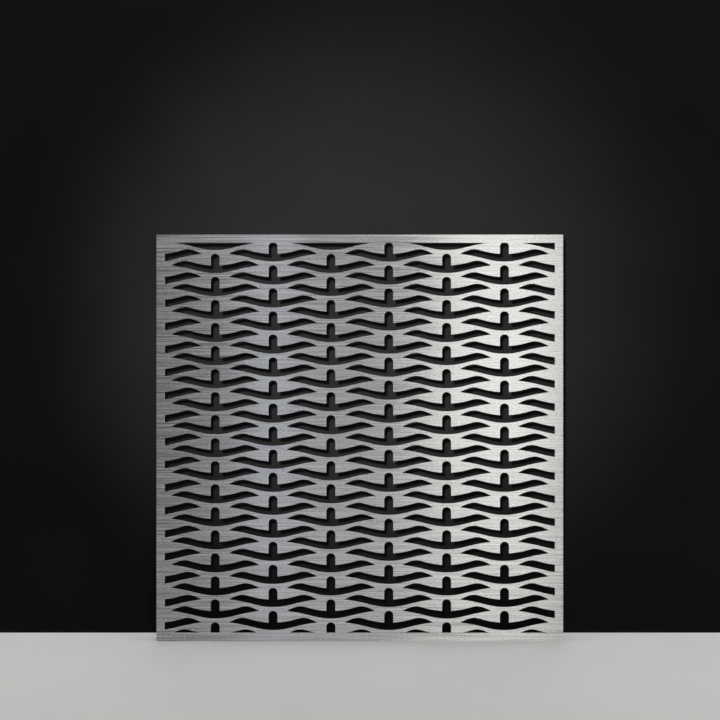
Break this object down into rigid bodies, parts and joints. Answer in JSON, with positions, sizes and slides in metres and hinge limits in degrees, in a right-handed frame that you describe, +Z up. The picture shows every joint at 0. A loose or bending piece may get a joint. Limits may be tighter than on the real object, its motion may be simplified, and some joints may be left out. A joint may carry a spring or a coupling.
{
  "type": "laser cut metal screen",
  "caption": "Square brushed steel screen, laser cut with a basket weave pattern inside a plain border, stiffened behind by a folded angle frame on a floor plate.",
  "frame": {"origin": "middle of the footprint, on the floor", "axes": "+Z up, the brushed face looks along -Y, +X to the right as seen from the front"},
  "size_m": [1.5, 0.083, 1.5],
  "materials": {
    "brushed_sheet": "stainless steel brushed along its width",
    "frame_coat": "fine-textured black powder coat",
    "fasteners": "bright zinc plate"
  },
  "bodies": {
    "root": {"face_sheet": "brushed_sheet", "bottom_angle": "frame_coat", "bottom_stud_1": "fasteners", "bottom_flange_nut_1": "fasteners", "bottom_stud_2": "fasteners", "bottom_flange_nut_2": "fasteners", "bottom_stud_3": "fasteners", "bottom_flange_nut_3": "fasteners", "bottom_stud_4": "fasteners", "bottom_flange_nut_4": "fasteners", "top_angle": "frame_coat", "top_stud_1": "fasteners", "top_flange_nut_1": "fasteners", "top_stud_2": "fasteners", "top_flange_nut_2": "fasteners", "top_stud_3": "fasteners", "top_flange_nut_3": "fasteners", "top_stud_4": "fasteners", "top_flange_nut_4": "fasteners", "left_angle": "frame_coat", "left_stud_1": "fasteners", "left_flange_nut_1": "fasteners", "left_stud_2": "fasteners", "left_flange_nut_2": "fasteners", "left_stud_3": "fasteners", "left_flange_nut_3": "fasteners", "left_stud_4": "fasteners", "left_flange_nut_4": "fasteners", "right_angle": "frame_coat", "right_stud_1": "fasteners", "right_flange_nut_1": "fasteners", "right_stud_2": "fasteners", "right_flange_nut_2": "fasteners", "right_stud_3": "fasteners", "right_flange_nut_3": "fasteners", "right_stud_4": "fasteners", "right_flange_nut_4": "fasteners", "floor_plate": "frame_coat", "plate_screw_1": "fasteners", "plate_nut_1": "fasteners", "plate_screw_2": "fasteners", "plate_nut_2": "fasteners", "plate_screw_3": "fasteners", "plate_nut_3": "fasteners", "plate_screw_4": "fasteners", "plate_nut_4": "fasteners", "plate_screw_5": "fasteners", "plate_nut_5": "fasteners"}
  },
  "joints": []
}
